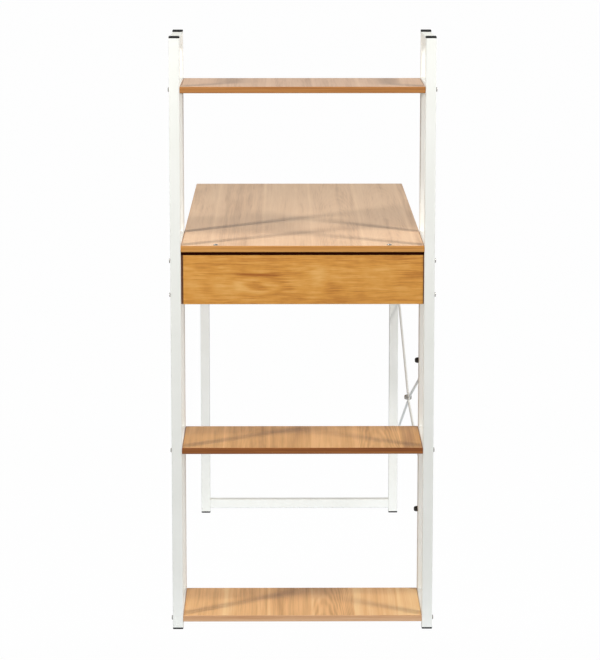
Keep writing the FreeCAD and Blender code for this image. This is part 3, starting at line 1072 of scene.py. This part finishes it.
def softbox(name, place, width, power):
    """A small area light in front of the tower, turned to face it."""
    data = bpy.data.lights.new(name, "AREA")
    data.shape = "RECTANGLE"
    data.size = width
    data.size_y = LIGHT_HEIGHT
    data.energy = power
    data.color = linear(LAMP_TINT)[:3]
    light = bpy.data.objects.new(name, data)
    light.location = place
    light.rotation_euler = (LIGHT_TARGET - place).to_track_quat("-Z", "Y").to_euler()
    bpy.context.scene.collection.objects.link(light)


def seen_directly(tree):
    """1 for rays that show the background itself: from the camera, a reflection or a transmission."""
    path = add(tree, "ShaderNodeLightPath")
    shown = path.outputs["Is Camera Ray"]
    for name in ("Is Glossy Ray", "Is Transmission Ray"):
        shown = add(
            tree, "ShaderNodeMath", {0: shown, 1: path.outputs[name]}, operation="MAXIMUM"
        ).outputs["Value"]
    return shown


def room():
    """Soft light by direction: a fill in front and to the right, a dim backdrop behind, a dark ceiling.

    Where the room itself is seen, it is white.
    """
    world = bpy.data.worlds.new("white_backdrop_room")
    bpy.context.scene.world = world
    world.use_nodes = True
    tree = world.node_tree
    tree.nodes.clear()
    look = add(tree, "ShaderNodeTexCoord").outputs["Generated"]
    height = add(tree, "ShaderNodeSeparateXYZ", {0: look}).outputs["Z"]
    back = add(
        tree, "ShaderNodeVectorMath", {0: look, 1: BACK_WAY}, operation="DOT_PRODUCT"
    ).outputs["Value"]
    behind, below = (
        add(
            tree,
            "ShaderNodeMapRange",
            {"Value": value, "From Min": first, "From Max": last},
            interpolation_type="SMOOTHSTEP",
        ).outputs["Result"]
        for value, (first, last) in ((back, BACKDROP_STARTS), (height, CEILING_ENDS))
    )
    wall = add(
        tree, "ShaderNodeMapRange", {"Value": behind, "To Min": FRONT_LIGHT, "To Max": BACKDROP_LIGHT}
    ).outputs["Result"]
    soft = add(
        tree, "ShaderNodeMapRange", {"Value": below, "To Min": CEILING_LIGHT, "To Max": wall}
    ).outputs["Result"]
    shown = seen_directly(tree)
    level = add(tree, "ShaderNodeMapRange", {"Value": shown, "To Min": soft, "To Max": SHOWN_LIGHT})
    tint = add(tree, "ShaderNodeValToRGB", {"Fac": behind}, tinted(((0.0, FILL_TINT), (1.0, COOL_TINT))))
    # A mix node's inputs 6 and 7 are its two colours, and its output 2 is the mixed colour
    hue = add(
        tree,
        "ShaderNodeMix",
        {"Factor": shown, 6: tint.outputs["Color"], 7: linear(WHITE)},
        data_type="RGBA",
    ).outputs[2]
    light = add(tree, "ShaderNodeBackground", {"Color": hue, "Strength": level.outputs["Result"]})
    add(tree, "ShaderNodeOutputWorld", {"Surface": light.outputs["Background"]})


def studio_floor():
    """A paper floor that is shown almost white and still takes the object's shadow."""
    bpy.ops.mesh.primitive_plane_add(size=FLOOR_SIZE)
    floor = bpy.context.object
    floor.name = "studio_floor"
    material, tree = new_material("white_paper_floor")
    place = add(tree, "ShaderNodeTexCoord").outputs["Object"]
    depth = add(tree, "ShaderNodeSeparateXYZ", {0: place}).outputs["Y"]
    first, last = PALE_FLOOR_STARTS
    behind = add(
        tree,
        "ShaderNodeMapRange",
        {"Value": depth, "From Min": first, "From Max": last},
        interpolation_type="SMOOTHSTEP",
    ).outputs["Result"]
    shade = add(tree, "ShaderNodeValToRGB", {"Fac": behind}, tinted(((0.0, FLOOR_GREY), (1.0, COOL_TINT))))
    paper = add(tree, "ShaderNodeBsdfDiffuse", {"Color": shade.outputs["Color"]})
    glow = add(tree, "ShaderNodeMath", {0: behind, 1: FLOOR_GLOW}, operation="MULTIPLY").outputs["Value"]
    lamp = add(tree, "ShaderNodeEmission", {"Color": linear(COOL_TINT), "Strength": glow})
    lit = add(tree, "ShaderNodeAddShader", {0: paper.outputs["BSDF"], 1: lamp.outputs["Emission"]})
    white = add(tree, "ShaderNodeEmission", {"Color": linear(WHITE), "Strength": SHOWN_LIGHT})
    share = add(
        tree, "ShaderNodeMath", {0: seen_directly(tree), 1: FLOOR_SHOWN_WHITE}, operation="MULTIPLY"
    ).outputs["Value"]
    mixed = add(
        tree,
        "ShaderNodeMixShader",
        {0: share, 1: lit.outputs["Shader"], 2: white.outputs["Emission"]},
    )
    add(tree, "ShaderNodeOutputMaterial", {"Surface": mixed.outputs["Shader"]})
    floor.data.materials.append(material)


def camera():
    data = bpy.data.cameras.new("photo_view")
    data.sensor_width = CAMERA_SENSOR
    data.lens = FOCAL_PIXELS / PICTURE_HEIGHT * CAMERA_SENSOR
    data.clip_end = 2 * FLOOR_SIZE
    made = bpy.data.objects.new("photo_view", data)
    made.location = CAMERA_PLACE
    made.rotation_euler = (math.pi / 2 - CAMERA_DOWN, 0.0, CAMERA_TURN)
    bpy.context.scene.collection.objects.link(made)
    bpy.context.scene.camera = made


def main():
    bpy.ops.object.select_all(action="DESELECT")
    coat = powder_coat()
    shaded_core = shaded_board_core()
    plastic = black_plastic()
    dark_steel = plated_steel("black_oxide_steel", DARK_STEEL_COLOURS, DARK_STEEL_ROUGHNESS)
    zinc = plated_steel("bright_zinc_plate", ZINC_COLOURS, ZINC_ROUGHNESS)
    finishes = {
        "white_powder_coat": coat,
        "oak_laminate": shaded_core,
        "black_plastic": plastic,
        "black_oxide_steel": dark_steel,
        "zinc_steel": zinc,
    }
    for node, slot in SLOT.items():
        dress(node, finishes[slot])
    make_boards(shaded_core)
    make_screws(zinc)
    make_tube_ends(plastic)
    make_brace(coat, dark_steel, zinc)
    softbox("left_softbox", LEFT_LIGHT_PLACE, LEFT_LIGHT_WIDTH, LEFT_LIGHT_POWER)
    softbox("right_softbox", RIGHT_LIGHT_PLACE, RIGHT_LIGHT_WIDTH, RIGHT_LIGHT_POWER)
    room()
    studio_floor()
    camera()
    bpy.context.scene.view_settings.view_transform = "Standard"


main()
